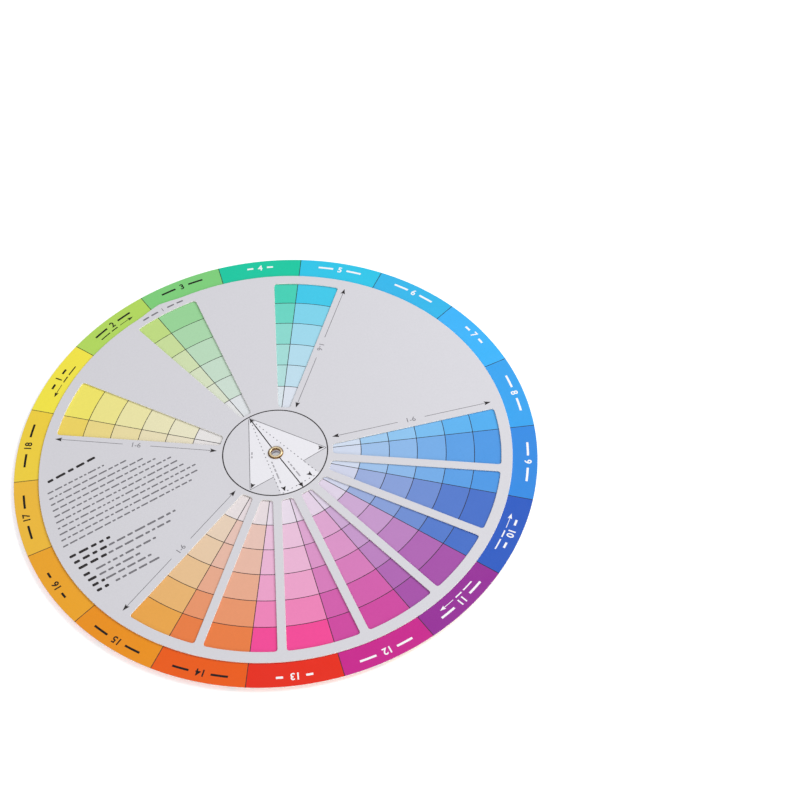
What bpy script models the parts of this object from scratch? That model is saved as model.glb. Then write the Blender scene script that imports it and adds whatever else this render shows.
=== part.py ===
"""A color mixing wheel: a round base card with a turning dial on each face, held by a central eyelet.

Lengths are in metres and +Z is up. The axis of the wheel is the Z axis, and z = 0 is the plane it rests on.
The tints face looks up and the mixing face looks down. Angles run counter-clockwise from +X, seen from above.
"""

import math

import bpy

MM = 0.001

# Base card
DISC_RADIUS = 117.5 * MM
RIM_WIDTH = 11.2 * MM
CARD_THICKNESS = 0.5 * MM
DISC_POINTS = 180

# Both dials
DIAL_THICKNESS = 0.5 * MM
LAYER_GAP = 0.15 * MM
CORNER_STEPS = 4
ARC_STEP = math.radians(2)

# Dial on the tints face, with wedge windows at some of its 18 places
WINDOW_PITCH = math.radians(20)
FIRST_WINDOW_END = math.radians(-6.1)
WINDOW_PLACES = (0, 1, 2, 3, 4, 5, 6, 10, 12, 14)
DIAL_BORDER = 5 * MM
HUB_RADIUS = 25.8 * MM
SPOKE_WIDTH = 3.8 * MM
TINT_CORNER = 1.5 * MM
PEAK_HEIGHT = 1.8 * MM
PEAK_ANGLE = math.radians(-256)
PEAK_HALF_ANGLE = math.radians(6)

# Dial on the mixing face, with one window in each of its five wedges
WEDGE_PITCH = math.radians(30)
FIRST_WEDGE_START = math.radians(-207.7)
WEDGE_MARGIN = 2.3 * MM
MIXING_CORNER = 0.6 * MM
MIXING_WINDOW_SHARES = (
    (0.775, 0.858),
    (0.652, 0.740),
    (0.510, 0.621),
    (0.365, 0.484),
    (0.166, 0.328),
)

# Eyelet and its washer
BORE_RADIUS = 1.95 * MM
EYELET_WALL = 0.35 * MM
HOLE_CLEARANCE = 0.3 * MM
FLANGE_OVERLAP = 0.9 * MM
FLANGE_HEIGHT = 0.6 * MM
ROLL_OVERLAP = 0.6 * MM
ROLL_HEIGHT = 0.5 * MM
LAND_WIDTH = 0.4 * MM
WASHER_OVERLAP = 1.15 * MM
WASHER_THICKNESS = 0.25 * MM
ROLL_STEPS = 4
TURN_STEPS = 48
MERGE_DISTANCE = 0.01 * MM

# Sizes that follow from those above
dial_radius = DISC_RADIUS - RIM_WIDTH
barrel_radius = BORE_RADIUS + EYELET_WALL
hole_radius = barrel_radius + HOLE_CLEARANCE
washer_low = ROLL_HEIGHT + LAYER_GAP
mixing_low = washer_low + WASHER_THICKNESS + LAYER_GAP
base_low = mixing_low + DIAL_THICKNESS + LAYER_GAP
tint_low = base_low + CARD_THICKNESS + LAYER_GAP
flange_low = tint_low + DIAL_THICKNESS + LAYER_GAP


def clear_scene():
    for item in list(bpy.data.objects):
        bpy.data.objects.remove(item, do_unlink=True)


def linear(value):
    """One sRGB channel, 0 to 255, as linear light."""
    share = value / 255
    if share <= 0.04045:
        return share / 12.92
    return ((share + 0.055) / 1.055) ** 2.4


def finish(name, colour, roughness, metallic=0.0):
    """A Principled material from an sRGB colour."""
    material = bpy.data.materials.new(name)
    material.use_nodes = True
    shader = material.node_tree.nodes["Principled BSDF"]
    shader.inputs["Base Color"].default_value = (*map(linear, colour), 1)
    shader.inputs["Roughness"].default_value = roughness
    shader.inputs["Metallic"].default_value = metallic
    return material


def polar(radius, angle):
    return radius * math.cos(angle), radius * math.sin(angle)


def spread(start, end, step):
    """Angles from start to end, both kept, no further apart than step."""
    count = max(1, math.ceil((end - start) / step))
    return [start + (end - start) * number / count for number in range(count + 1)]


def circle(radius, count):
    return [polar(radius, math.tau * number / count) for number in range(count)]


def rounded_corner(before, corner, after):
    """The inner points of a quadratic curve from before to after that bends towards the corner."""
    points = []
    for number in range(1, CORNER_STEPS):
        t = number / CORNER_STEPS
        weights = (1 - t) ** 2, 2 * t * (1 - t), t * t
        ends = before, corner, after
        points.append([sum(w * end[axis] for w, end in zip(weights, ends)) for axis in (0, 1)])
    return points


def window(start, end, inner, outer, margin, corner):
    """A wedge window between two radial lines, its sides parallel to them at the margin."""

    def on_start(radius):
        return start + math.asin(margin / radius)

    def on_end(radius):
        return end - math.asin(margin / radius)

    def arc(radius):
        setback = corner / radius
        return spread(on_start(radius) + setback, on_end(radius) - setback, ARC_STEP)

    side = inner + corner, outer - corner
    rising = [polar(radius, on_start(radius)) for radius in side]
    falling = [polar(radius, on_end(radius)) for radius in reversed(side)]
    far = [polar(outer, angle) for angle in arc(outer)]
    near = [polar(inner, angle) for angle in reversed(arc(inner))]
    points = rising + rounded_corner(rising[-1], polar(outer, on_start(outer)), far[0])
    points += far + rounded_corner(far[-1], polar(outer, on_end(outer)), falling[0])
    points += falling + rounded_corner(falling[-1], polar(inner, on_end(inner)), near[0])
    points += near + rounded_corner(near[-1], polar(inner, on_start(inner)), rising[0])
    return points


def peaked_circle(radius):
    """The tint dial's edge: a circle with one shallow peak for a fingertip."""
    points = []
    for number in range(DISC_POINTS):
        turn = math.tau * number / DISC_POINTS
        away = min(turn, math.tau - turn) / PEAK_HALF_ANGLE
        points.append(polar(radius + PEAK_HEIGHT * max(0, 1 - away), PEAK_ANGLE + turn))
    return points


def card(name, outlines, low, thickness, material, collection):
    """A flat card cut to the first outline, with the others cut out of it."""
    curve = bpy.data.curves.new(name, "CURVE")
    curve.dimensions = "2D"
    curve.fill_mode = "BOTH"
    curve.extrude = thickness / 2
    for outline in outlines:
        spline = curve.splines.new("POLY")
        spline.points.add(len(outline) - 1)
        spline.use_cyclic_u = True
        for point, (x, y) in zip(spline.points, outline):
            point.co = x, y, 0, 1
    curve.materials.append(material)
    piece = bpy.data.objects.new(name, curve)
    piece.location = 0, 0, low + thickness / 2
    collection.objects.link(piece)


def turned(name, section, material, collection):
    """A ring turned about the axis from a closed (radius, height) section."""
    count = len(section)
    mesh = bpy.data.meshes.new(name)
    edges = [(number, (number + 1) % count) for number in range(count)]
    mesh.from_pydata([(radius, 0, height) for radius, height in section], edges, [])
    mesh.materials.append(material)
    piece = bpy.data.objects.new(name, mesh)
    collection.objects.link(piece)
    screw = piece.modifiers.new("turn", "SCREW")
    screw.axis = "Z"
    screw.steps = TURN_STEPS
    screw.render_steps = TURN_STEPS
    screw.use_merge_vertices = True
    screw.merge_threshold = MERGE_DISTANCE
    screw.use_smooth_shade = True


def rolled_edge(outer, base, height):
    """Section of a rolled edge: up from its outer radius, across a flat land, and down into the bore."""
    middle = (BORE_RADIUS + outer) / 2
    land_outer = middle + LAND_WIDTH / 2
    land_inner = middle - LAND_WIDTH / 2
    quarter = [math.pi / 2 * number / ROLL_STEPS for number in range(ROLL_STEPS + 1)]
    rise = [
        (land_outer + (outer - land_outer) * math.cos(t), base + height * math.sin(t))
        for t in quarter
    ]
    fall = [
        (land_inner - (land_inner - BORE_RADIUS) * math.sin(t), base + height * math.cos(t))
        for t in quarter
    ]
    return rise + fall


def make_base_disc(collection):
    """The printed base card."""
    outlines = [circle(DISC_RADIUS, DISC_POINTS), circle(hole_radius, TURN_STEPS)]
    white = finish("printed_card", (238, 238, 236), 0.35)
    card("base_disc", outlines, base_low, CARD_THICKNESS, white, collection)


def make_tint_dial(collection):
    """The upper dial, whose windows show a hue's tints."""
    outlines = [peaked_circle(dial_radius), circle(hole_radius, TURN_STEPS)]
    for place in WINDOW_PLACES:
        end = FIRST_WINDOW_END - place * WINDOW_PITCH
        outer = dial_radius - DIAL_BORDER
        start = end - WINDOW_PITCH
        outlines.append(window(start, end, HUB_RADIUS, outer, SPOKE_WIDTH / 2, TINT_CORNER))
    grey = finish("grey_card", (215, 213, 220), 0.4)
    card("tint_dial", outlines, tint_low, DIAL_THICKNESS, grey, collection)


def make_mixing_dial(collection):
    """The lower dial, whose windows step inwards from wedge to wedge."""
    outlines = [circle(dial_radius, DISC_POINTS), circle(hole_radius, TURN_STEPS)]
    for place, (inner_share, outer_share) in enumerate(MIXING_WINDOW_SHARES):
        start = FIRST_WEDGE_START + place * WEDGE_PITCH
        inner = inner_share * dial_radius
        outer = outer_share * dial_radius
        end = start + WEDGE_PITCH
        outlines.append(window(start, end, inner, outer, WEDGE_MARGIN, MIXING_CORNER))
    white = finish("white_card", (235, 235, 240), 0.4)
    card("mixing_dial", outlines, mixing_low, DIAL_THICKNESS, white, collection)


def make_eyelet(collection):
    """The eyelet: a flange over the tint dial, a barrel through the cards, and a rolled end below."""
    flange = rolled_edge(hole_radius + FLANGE_OVERLAP, flange_low, FLANGE_HEIGHT)
    barrel = [(barrel_radius, flange_low), (barrel_radius, ROLL_HEIGHT)]
    roll = rolled_edge(hole_radius + ROLL_OVERLAP, ROLL_HEIGHT, -ROLL_HEIGHT)
    brass = finish("brass", (205, 165, 85), 0.25, 1.0)
    turned("eyelet", flange[::-1] + barrel + roll, brass, collection)


def make_eyelet_washer(collection):
    """The ring that the rolled end is pressed against."""
    outer = hole_radius + WASHER_OVERLAP
    high = washer_low + WASHER_THICKNESS
    section = [(outer, high), (outer, washer_low), (hole_radius, washer_low), (hole_radius, high)]
    nickel = finish("nickel", (190, 188, 184), 0.25, 1.0)
    turned("eyelet_washer", section, nickel, collection)


def main():
    clear_scene()
    collection = bpy.data.collections.new("color_mixing_wheel")
    bpy.context.scene.collection.children.link(collection)
    make_base_disc(collection)
    make_tint_dial(collection)
    make_mixing_dial(collection)
    make_eyelet(collection)
    make_eyelet_washer(collection)


main()
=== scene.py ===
"""Looks of a color mixing wheel: a printed card disc between two turning dials, held by a brass eyelet.

Lengths are in metres and +Z is up. The tints face looks up and the mixing face looks down. Each face is drawn
as it is seen from its own side, with x to the right and y up, and its angles run clockwise from the right, in
degrees. Places on a face are shares of the base card's radius.
"""

import math

import bmesh
import bpy
import numpy as np
from bpy.props import FloatProperty, FloatVectorProperty, IntProperty, PointerProperty
from mathutils import Euler, Matrix, Vector


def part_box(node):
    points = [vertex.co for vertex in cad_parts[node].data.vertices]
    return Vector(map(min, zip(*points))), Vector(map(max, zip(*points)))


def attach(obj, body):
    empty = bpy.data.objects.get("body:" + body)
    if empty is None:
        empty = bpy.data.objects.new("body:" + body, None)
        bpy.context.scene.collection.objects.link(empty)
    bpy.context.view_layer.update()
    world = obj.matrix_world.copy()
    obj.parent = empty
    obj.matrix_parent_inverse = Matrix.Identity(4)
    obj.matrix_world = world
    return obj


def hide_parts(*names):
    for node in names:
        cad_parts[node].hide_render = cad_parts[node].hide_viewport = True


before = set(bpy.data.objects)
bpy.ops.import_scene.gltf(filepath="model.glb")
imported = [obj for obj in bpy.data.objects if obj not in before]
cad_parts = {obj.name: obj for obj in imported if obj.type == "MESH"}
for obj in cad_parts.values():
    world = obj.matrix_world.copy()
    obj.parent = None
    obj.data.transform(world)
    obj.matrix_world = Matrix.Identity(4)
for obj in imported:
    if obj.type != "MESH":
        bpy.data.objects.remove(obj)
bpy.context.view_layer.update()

bl_info = {
    "name": "Color Mixing Wheel",
    "version": (1, 0, 0),
    "blender": (4, 5, 0),
    "location": "View3D > Sidebar > Wheel",
    "description": "A printed card disc between two turning dials, held by an eyelet",
    "category": "Add Mesh",
}

MM = 0.001


def level(node):
    """Lowest and highest height of a CAD node."""
    low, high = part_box(node)
    return low.z, high.z


BASE_LOW, BASE_HIGH = level("base_disc")
TINT_LOW, TINT_HIGH = level("tint_dial")
MIXING_LOW, _ = level("mixing_dial")
EYELET_LOW, EYELET_HIGH = level("eyelet")
WASHER_LOW, WASHER_HIGH = level("eyelet_washer")
DISC_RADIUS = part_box("base_disc")[1].x
DIAL_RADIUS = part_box("mixing_dial")[1].x
# The gap between two cards is also the gap under the eyelet's bead and above its rolled end.
LAYER_GAP = TINT_LOW - BASE_HIGH
BEAD_LOW = TINT_HIGH + LAYER_GAP
ROLL_HIGH = WASHER_LOW - LAYER_GAP

# The 18 hues round the tints face, clockwise from the first rim boundary. Each has its number, counted from
# yellow, the ink of its label and its rim colour.
TINTS_FIRST = -6.3
TINTS_PITCH = 20.0
TINTS_HUES = (
    (8, "white", "34A0EA"),
    (9, "white", "2F87DD"),
    (10, "white", "2758BD"),
    (11, "white", "922894"),
    (12, "white", "C51D8A"),
    (13, "white", "E4260C"),
    (14, "black", "E95A08"),
    (15, "black", "EA9012"),
    (16, "black", "ECA424"),
    (17, "black", "EEBA39"),
    (18, "black", "F0D03D"),
    (1, "black", "F4E645"),
    (2, "black", "B3D95D"),
    (3, "black", "7DCE7A"),
    (4, "white", "0CC7A0"),
    (5, "white", "29C3E6"),
    (6, "white", "30B4E7"),
    (7, "white", "38B0F4"),
)
# The families of hues, in the same order: how many hues each has, the share of near white in its strongest
# tints, and a power on TINT_SHARES, which is higher where the tints pale more slowly.
TINT_FAMILIES = (
    (3, 0.15, 1.5),
    (2, 0.20, 1.2),
    (1, 0.00, 0.6),
    (4, 0.25, 0.9),
    (2, 0.20, 0.8),
    (3, 0.25, 0.9),
    (3, 0.10, 0.6),
)
# Share of the near white in each tint, from the edge inwards, on top of its family's.
TINT_SHARES = (0, 0.2, 0.4, 0.55, 0.65, 0.9)
NEAR_WHITE = "E4E2EC"
# The red hue's tints are pink from the start.
PINK_NUMBER = 13
PINK = "F04696"
# Printed circles between the tints, and two rows of the card inside them and two outside.
TINT_RINGS = (0.218, 0.327, 0.435, 0.542, 0.652, 0.760, 0.872)
TINT_ROWS_INSIDE = (0.08, 0.15)
TINT_ROWS_OUTSIDE = (0.89, 0.95)

# The 12 hues round the mixing face, clockwise from the first rim bar, with their numbers and label inks.
MIXING_FIRST = -176.5
MIXING_PITCH = 30.0
MIXING_HUES = (
    (7, "white", "ED3623"),
    (8, "black", "F35D1F"),
    (9, "black", "F67A2D"),
    (10, "black", "EEA63D"),
    (11, "black", "EDD441"),
    (12, "black", "70B768"),
    (1, "black", "51B07A"),
    (2, "white", "15B8B8"),
    (3, "white", "30BAF0"),
    (4, "white", "3A6BC0"),
    (5, "white", "6647A1"),
    (6, "white", "BB3778"),
)
# Rings of mixtures under the mixing dial, from the hub out: where each ends, the colour mixed in and how
# strongly, and the place and colour of the one mixture that shows with the dial at rest.
MIXTURES = (
    (0.313, "4E4A48", 0.45, 3, "A08F69"),
    (0.450, "FFFFFF", 0.50, 2, "FBB29F"),
    (0.576, "3563B0", 0.70, 1, "6480CC"),
    (0.685, "F4E83C", 0.50, 0, "E68A2C"),
    (0.880, "F0443A", 0.50, 11, "D53C54"),
)
MIXTURE_START = 0.135
MIXTURE_ROWS_INSIDE = (0.06, 0.10)
MIXTURE_ROWS_OUTSIDE = (0.94,)
# Power on linear light at which colours are averaged when paints are mixed.
MIXING_POWER = 0.45
# Widths of the black bars between the hues, on the rim and under the dial.
BAR_WIDTH = 0.024
INNER_BAR_WIDTH = 0.040
# Where the rim starts, outside both dials.
RIM_START = 0.9

# Windows of the two dials, in degrees. The mixing dial's are also in shares of that dial's radius.
WINDOW_PITCH = 20.0
WINDOW_FIRST = 6.1
WINDOW_PLACES = (0, 1, 2, 3, 4, 5, 6, 10, 12, 14)
WEDGE_PITCH = 30.0
WEDGE_FIRST = -207.7
WEDGE_WINDOWS = ((0.775, 0.858), (0.652, 0.740), (0.510, 0.621), (0.365, 0.484), (0.166, 0.328))
PEAK_PLACE = 256.0
PEAK_HALF_WIDTH = 6.0

# Print of the two rims. share is where the numbers stand, and taller is their height over the setting's.
# beside is the gap in degrees beside one figure and beside two, and dashes are the lengths of the dashes in
# degrees, in turn. arrows are the places of the hues with a small arrow, and the way it points: 1 is
# clockwise.
TINTS_RIM = {
    "share": 0.963,
    "taller": 1.0,
    "beside": (1.7, 2.4),
    "dashes": (3.7, 3.7, 1.5),
    "dash_width": 1.0 * MM,
    "arrow_share": 0.937,
    "arrows": {2: -1, 3: 1, 11: -1, 12: 1},
}
MIXING_RIM = {
    "share": 0.953,
    "taller": 1.35,
    "beside": (2.1, 2.9),
    "dashes": (4.4,),
    "dash_width": 1.1 * MM,
    "arrow_share": 0.922,
    "arrows": {4: -1, 5: 1},
}

# Blocks of small print as dashes, in the seen face's shares to the right and down: where the first line
# starts, the step to the next line, and how far the lines fall for each step to the right. Then the heights
# of the bold and the plain dashes, as shares of the small print's height, and each line's width and bold
# share. A heading is all bold.
TINTS_PRINT = (
    (-0.850, -0.185, 0, 0, -0.250, 1.45, 0, ((0.200, 1),)),
    (-0.862, -0.133, 0, 0.0283, -0.225, 0, 0.86, (
        (0.232, 0), (0.322, 0), (0.387, 0), (0.437, 0), (0.482, 0),
        (0.512, 0), (0.532, 0), (0.572, 0), (0.567, 0), (0.527, 0),
    )),
    (-0.850, 0.175, 0, 0, -0.212, 1.45, 0, ((0.165, 1),)),
    (-0.840, 0.205, 0.010, 0.0290, -0.220, 1.5, 1.1, ((0.420, 0.33), (0.385, 0.31))),
    (-0.820, 0.270, 0.010, 0.0267, -0.225, 1.5, 1.1, (
        (0.290, 0.17), (0.225, 0.20), (0.235, 0.23), (0.265, 0.28),
    )),
)  # fmt: skip
MIXING_PRINT = (
    (0.200, -0.215, 0.0195, 0.0212, -0.905, 1.3, 0.8, (
        (0.225, 0.16), (0.150, 0.24), (0.155, 0.26), (0.171, 0.28), (0.246, 0.42), (0.187, 0),
        (0.237, 0.52), (0.123, 0), (0.209, 0.80), (0.254, 0), (0.265, 0.20), (0.070, 0),
    )),
    (-0.085, 0.170, 0, 0, -0.860, 1.4, 0, ((0.130, 1),)),
    (-0.062, 0.192, 0.0171, 0.0196, -0.870, 0, 1.15, ((0.262, 0), (0.285, 0), (0.264, 0))),
)  # fmt: skip

# Arrows along the windows: outer share and angle, then inner share and angle.
TINTS_ARROWS = (
    (0.860, 5.0, 0.226, 1.8),
    (0.861, 306.9, 0.226, 307.9),
    (0.863, 205.8, 0.227, 203.6),
    (0.860, 147.3, 0.224, 150.0),
)

# Hue ring on the mixing dial, clockwise from the top, and the two runs of the grey scale, lightest first:
# where each starts, the degrees of one value, the share of its inner edge and its greys. The lenses are the
# wedges' colours.
RING_CENTRE = (0.3585, 0.370)
RING_SHARES = (0.241, 0.331)
RING_HUES = "168D8C 247674 465974 352E5B 38316F 8B378E F03634 FC602C FC9A31 F7BE35 FAE93E 6BBB69".split()
GREYS = (
    (-59.0, 15.2, 0.795, ("E6E6EA", "DCDCE0", "D4D4DA", "C8C8CE", "B6B6BC")),
    (76.7, 15.0, 0.785, ("969698", "7A7A7C", "5C5C5E", "3E3E40", "1E1E20")),
)
LENSES = ("EE3A30", "F8E632", "2B5FA0", None, "413C3A")


# Settings


def hex_display(code):
    """A colour written as six sRGB hex digits, as display values from 0 to 1."""
    return np.array([int(code[place : place + 2], 16) for place in (0, 2, 4)]) / 255


def display_linear(value):
    """Display values as linear light."""
    return np.where(value <= 0.04045, value / 12.92, ((value + 0.055) / 1.055) ** 2.4)


def hex_linear(code):
    """A colour written as six sRGB hex digits, as linear light."""
    return display_linear(hex_display(code))


def paled(hue, start, ease):
    """A hue's tints in linear light, mixed as display values.

    The share of near white is start, and to that is added the rest times TINT_SHARES to the power ease.
    """
    share = start + (1 - start) * np.array(TINT_SHARES)[:, None] ** ease
    return display_linear((1 - share) * hex_display(hue) + share * hex_display(NEAR_WHITE))


def tints_and_rims():
    """Colours of the tints face in linear light, its innermost ring of tints first and its rim last."""
    families = [(start, ease) for count, start, ease in TINT_FAMILIES for _ in range(count)]
    columns = []
    for (number, _, rim), (start, ease) in zip(TINTS_HUES, families, strict=True):
        hue = PINK if number == PINK_NUMBER else rim
        columns.append([*paled(hue, start, ease)[::-1], hex_linear(rim)])
    return np.stack(columns, 1)


def mixtures_and_rims():
    """Colours of the mixing face in linear light, its innermost ring of mixtures first and its rim last.

    A mixture to the power MIXING_POWER is the mean of two: the weighted sum of both colours, each to that
    power, and their product, each to its own weight and the whole to that power.
    """
    rims = np.array([hex_linear(rim) for _, _, rim in MIXING_HUES])
    rings = []
    for _, added, strength, place, shown in MIXTURES:
        added = hex_linear(added)
        blend = (1 - strength) * rims**MIXING_POWER + strength * added**MIXING_POWER
        product = rims ** (1 - strength) * added**strength
        ring = ((blend + product**MIXING_POWER) / 2) ** (1 / MIXING_POWER)
        ring[place] = hex_linear(shown)
        rings.append(ring)
    return np.stack([*rings, rims])


def length_setting(name, description, millimetres):
    return FloatProperty(
        name=name, description=description, default=millimetres * MM, min=0, precision=5, unit="LENGTH"
    )


def angle_setting(name, description, degrees):
    return FloatProperty(name=name, description=description, default=math.radians(degrees), unit="ROTATION")


def colour_setting(name, description, code):
    colour = tuple(hex_linear(code))
    return FloatVectorProperty(
        name=name, description=description, default=colour, min=0, max=1, size=3, subtype="COLOR"
    )


def number_setting(name, description, number, unit="NONE"):
    return FloatProperty(name=name, description=description, default=number, unit=unit)


class WheelCard(bpy.types.PropertyGroup):
    """Sizes of the three cards."""

    disc_radius: length_setting("Base card radius", "From the axis to the rim", DISC_RADIUS / MM)
    dial_radius: length_setting("Dial radius", "From the axis to either dial's edge", DIAL_RADIUS / MM)
    hole_radius: length_setting("Hole radius", "Hole for the eyelet in each card", 2.6)
    cut_round: length_setting("Cut edge rounding", "Rounding that the die leaves on every cut edge", 0.12)
    hub_radius: length_setting("Hub radius", "From the axis to the tint windows", 25.8)
    dial_border: length_setting("Dial border", "Card left outside the tint windows", 5.0)
    spoke_width: length_setting("Spoke width", "Card left between two tint windows", 3.8)
    window_corner: length_setting("Window corner", "Rounding of a tint window's corners", 1.5)
    peak_height: length_setting("Finger peak", "How far the peak stands out of the tint dial's edge", 1.8)
    wedge_margin: length_setting("Wedge margin", "Card left beside a mixing window", 2.3)
    wedge_corner: length_setting("Mixing window corner", "Rounding of a mixing window's corners", 0.6)


class WheelPrint(bpy.types.PropertyGroup):
    """Sizes of the printed lines and numbers."""

    line_width: length_setting("Line width", "Width of the thin printed lines", 0.3)
    heavy_width: length_setting("Heavy line width", "Width of the heavy printed lines", 0.55)
    ink_height: length_setting("Ink height", "How far a printed mark stands off its card", 0.015)
    number_height: length_setting("Number height", "Height of the rim's numbers", 3.1)
    print_height: length_setting("Small print height", "Height of the dashes of small print", 0.9)
    seed: IntProperty(name="Print seed", description="Seed for the lengths of the dashes", default=7, min=0)


class WheelMetal(bpy.types.PropertyGroup):
    """Sizes of the eyelet and its washer."""

    bore_radius: length_setting("Bore radius", "Open hole through the eyelet", 1.95)
    wall: length_setting("Wall", "Thickness of the eyelet's barrel", 0.35)
    flange_radius: length_setting("Flange radius", "Outer radius of the flange on the tints face", 3.5)
    roll_radius: length_setting("Roll radius", "Outer radius of the rolled end", 3.2)
    washer_radius: length_setting("Washer radius", "Outer radius of the washer", 3.75)
    turns: IntProperty(name="Steps", description="Steps round the axis", default=144, min=12)


class WheelColours(bpy.types.PropertyGroup):
    """Colours of the cards, inks and metals. The hues are in the tables above."""

    grey_card: colour_setting("Grey card", "Printed grey of the tint dial", "D4D3D9")
    white_card: colour_setting("White card", "Printed white of the mixing dial", "F0EFF5")
    core: colour_setting("Card core", "Paper that shows on cut edges", "EFECE6")
    black_ink: colour_setting("Black ink", "Lines and headings", "2A2628")
    rim_ink: colour_setting("Rim ink", "Numbers on the light hues", "0E0B0B")
    grey_ink: colour_setting("Grey ink", "Small print and arrows", "77757B")
    white_ink: colour_setting("White ink", "Numbers on the dark hues", "F4F4F6")
    # The eyelet's crest colour and its much darker flank colour together paint a highlight on the bead's crest
    # and shade on its flanks.
    brass: colour_setting("Brass", "Rubbed crest of the eyelet", "FFE9BE")
    dull_brass: colour_setting("Dull brass", "Flanks of the eyelet's bead, where nothing rubs", "7A5620")
    steel: colour_setting("Bare steel", "Inside of the eyelet, where the brass wears off", "A39FA6")
    # The rolled end's steel is the bore's steel darkened as painted shade.
    dark_steel: colour_setting("Dark steel", "Rolled end of the eyelet", "615F68")
    nickel: colour_setting("Nickel", "Washer under the rolled end", "C6C3BD")


class WheelStage(bpy.types.PropertyGroup):
    """Floor, light and camera."""

    floor_colour: colour_setting("Floor", "Colour of the floor", "F2F2F2")
    floor_size: number_setting("Floor size", "Side of the floor", 8, "LENGTH")
    sky: number_setting("Sky", "Strength of the even white light from all round", 0.44)
    sheen: number_setting("Sheen", "Strength of the surroundings in gloss", 0.3)
    key_power: number_setting("Key lamp", "Power of the soft lamp above", 13.7, "POWER")
    fill_power: number_setting("Fill lamp", "Power of the low lamp in front", 18, "POWER")
    under_power: number_setting("Under lamp", "Power of the lamp for views from below", 17.5, "POWER")
    lens: number_setting("Lens", "Focal length on a 36 mm sensor", 75.52, "CAMERA")
    aim: FloatVectorProperty(
        name="Aim",
        description="Point of the floor that the camera looks at",
        default=(0.063, 0.0096),
        size=2,
        unit="LENGTH",
    )
    distance: number_setting("Distance", "From the camera to its aim", 0.774, "LENGTH")
    rise: angle_setting("Rise", "How steeply the camera looks down", 52.4)
    turn: angle_setting("Turn", "How far the camera stands round from the front, towards the left", 17.9)
    roll: angle_setting("Roll", "Turn of the camera about its own axis, counter-clockwise", -2.9)


# Shapes


def seen(right, down):
    """A place on a seen face, from shares to the right and down."""
    radius = bpy.context.scene.wheel_card.disc_radius
    return np.stack(np.broadcast_arrays(np.asarray(right) * radius, np.asarray(down) * -radius), -1)


def spot(share, clockwise):
    """A place on a seen face, from a share of the radius and a clockwise angle in degrees."""
    turn = np.radians(clockwise)
    return seen(share * np.cos(turn), share * np.sin(turn))


def round_the_axis(radius, clockwise):
    """Points at a radius in metres and a clockwise angle in radians: (r cos a, -r sin a)."""
    return np.stack(np.broadcast_arrays(radius * np.cos(clockwise), radius * -np.sin(clockwise)), -1)


def lifted(flat, height):
    """Flat points at a height, which may differ from point to point."""
    heights = np.broadcast_to(np.asarray(height, float)[..., None], flat.shape[:-1] + (1,))
    return np.concatenate([flat, heights], -1)


WHITE = (1, 1, 1)
MERGE_DISTANCE = 0.0001 * MM
# Slots of a card's materials. A dial has no ink of its own.
FILM, CORE, INK = 0, 1, 2


def facing_up(height):
    """Places a face drawn at zero height on a card's upper side."""
    return lambda points: points + np.array([0, 0, height])


def facing_down(height):
    """Turns a drawn face over, half a turn about X, and places it on a card's lower side."""
    return lambda points: points * np.array([1, -1, -1]) + np.array([0, 0, height])


def no_move(points):
    """Leaves a piece that is made at its place."""
    return points


def quads_between(shape, wrap):
    """Four-cornered faces of a grid of points. wrap says whether its rows and its columns close."""
    index = np.arange(math.prod(shape)).reshape(shape)
    index = np.vstack([index, index[:1]]) if wrap[0] else index
    index = np.hstack([index, index[:, :1]]) if wrap[1] else index
    return np.stack([index[:-1, :-1], index[:-1, 1:], index[1:, 1:], index[1:, :-1]], -1)


class Shell:
    """The points and faces of one piece, gathered as whole arrays. Each face has a slot and a colour."""

    def __init__(self):
        self.points, self.faces, self.slots, self.colours, self.count = [], [], [], [], 0

    def add(self, points, blocks, slots, colours=WHITE):
        """Points, blocks of faces that count from the first of them, and a slot and colour for each face."""
        points = np.asarray(points, float).reshape(-1, 3)
        many = sum(len(block) for block in blocks)
        self.points.append(points)
        for block in blocks:
            self.faces += (np.asarray(block) + self.count).tolist()
        self.slots.append(np.broadcast_to(slots, many))
        self.colours.append(np.broadcast_to(colours, (many, 3)))
        self.count += len(points)

    def grid(self, points, slots=0, colours=WHITE, wrap=(False, False)):
        """A patch from a grid of points, with a slot and colour for each face between them."""
        quads = quads_between(points.shape[:2], wrap)
        shape = quads.shape[:2]
        slots = np.broadcast_to(slots, shape).ravel()
        colours = np.broadcast_to(colours, shape + (3,)).reshape(-1, 3)
        self.add(points, [quads.reshape(-1, 4)], slots, colours)

    def join(self, other, signs, height):
        """Takes in another shell of four-cornered faces, its axes multiplied by signs, at a height."""
        points = np.vstack(other.points) * signs + (0, 0, height)
        self.add(points, [other.faces], np.concatenate(other.slots), np.vstack(other.colours))

    def make(self, name, finishes, body, slot, place=no_move, smooth=False):
        """Makes the mesh, merges the patches' seams, turns every face outwards and hangs it on its body."""
        mesh = bpy.data.meshes.new(name)
        mesh.from_pydata(place(np.vstack(self.points)), [], self.faces)
        for finish_name in finishes:
            mesh.materials.append(finish(finish_name))
        mesh.polygons.foreach_set("material_index", np.concatenate(self.slots).astype(np.int32))
        inks = mesh.attributes.new("print_colour", "FLOAT_VECTOR", "FACE")
        inks.data.foreach_set("vector", np.vstack(self.colours).astype(np.float32).ravel())
        work = bmesh.new()
        work.from_mesh(mesh)
        bmesh.ops.remove_doubles(work, verts=work.verts, dist=MERGE_DISTANCE)
        bmesh.ops.recalc_face_normals(work, faces=work.faces)
        work.to_mesh(mesh)
        work.free()
        mesh.polygons.foreach_set("use_smooth", np.full(len(mesh.polygons), smooth))
        piece = bpy.data.objects.new(name, mesh)
        bpy.context.scene.collection.objects.link(piece)
        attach(piece, body)
        return piece


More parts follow.
